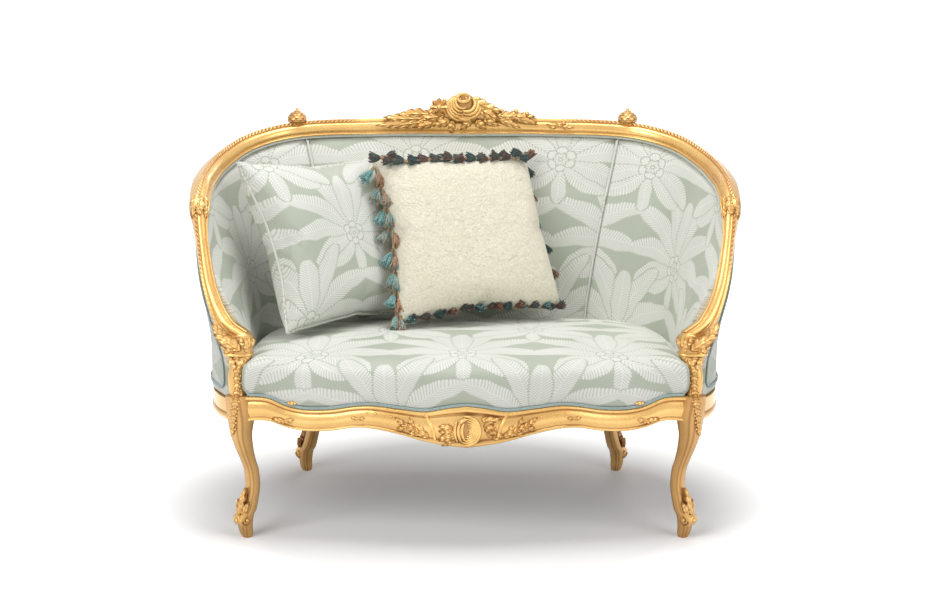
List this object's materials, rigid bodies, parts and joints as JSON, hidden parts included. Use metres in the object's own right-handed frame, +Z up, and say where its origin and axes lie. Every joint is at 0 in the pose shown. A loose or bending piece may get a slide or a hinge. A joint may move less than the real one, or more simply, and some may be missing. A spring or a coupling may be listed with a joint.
{
  "type": "loveseat",
  "caption": "Tub-backed loveseat with a carved gilt frame, cabriole legs, a sprung seat, a padded back and loose cushions.",
  "frame": {"origin": "middle of the outline at floor level", "axes": "+X along the length towards the sitter's left, +Y to the back, +Z up"},
  "size_m": [1.3098, 0.6816, 1.0046],
  "materials": {
    "giltwood": "rubbed antique gold leaf over carved wood",
    "beech": "bare",
    "damask": "woven satin, sage and silver",
    "trim": "woven cord",
    "cream_cloth": "short pile",
    "tassel_fringe": "mixed dark silk yarns",
    "jute": "coarse weave",
    "spring_steel": "wire",
    "cambric": "thin black lining"
  },
  "bodies": {
    "frame": {"arm_front_left": "giltwood", "arm_front_right": "giltwood", "back_seam_left": "trim", "back_seam_right": "trim", "corner_block_front_left": "beech", "corner_block_front_right": "beech", "corner_block_rear_left": "beech", "corner_block_rear_right": "beech", "crest_rail": "giltwood", "dust_cover": "cambric", "finial_left": "giltwood", "finial_right": "giltwood", "front_leg_left": "giltwood", "front_leg_right": "giltwood", "front_seat_rail": "giltwood", "hessian_sheet": "jute", "inner_welt": "trim", "inside_arm_pad_left": "damask", "inside_arm_pad_right": "damask", "inside_back_pad": "damask", "outside_arm_cover_left": "damask", "outside_arm_cover_right": "damask", "outside_back_cover": "damask", "rear_leg_left": "giltwood", "rear_leg_right": "giltwood", "rear_seat_rail": "giltwood", "seat_cover": "damask", "seat_gimp": "trim", "seat_spring_1": "spring_steel", "seat_spring_2": "spring_steel", "seat_spring_3": "spring_steel", "seat_spring_4": "spring_steel", "seat_spring_5": "spring_steel", "seat_spring_6": "spring_steel", "seat_stuffing": "jute", "seat_webbing": "jute", "side_seat_rail_left": "giltwood", "side_seat_rail_right": "giltwood", "top_rail_left": "giltwood", "top_rail_right": "giltwood"},
    "corner_cushion": {"corner_cushion": "damask", "corner_cushion_piping": "damask"},
    "tassel_cushion": {"fringe_bottom": "tassel_fringe", "fringe_left": "tassel_fringe", "fringe_right": "tassel_fringe", "fringe_top": "tassel_fringe", "tassel_cushion": "cream_cloth"}
  },
  "joints": [
    {"name": "corner_cushion_lift", "type": "slide", "parent": "frame", "child": "corner_cushion", "axis": [0, -0.5, 0.866], "range_m": [0, 0.6]},
    {"name": "tassel_cushion_lift", "type": "slide", "parent": "corner_cushion", "child": "tassel_cushion", "axis": [0, -0.5, 0.866], "range_m": [0, 0.6]}
  ]
}
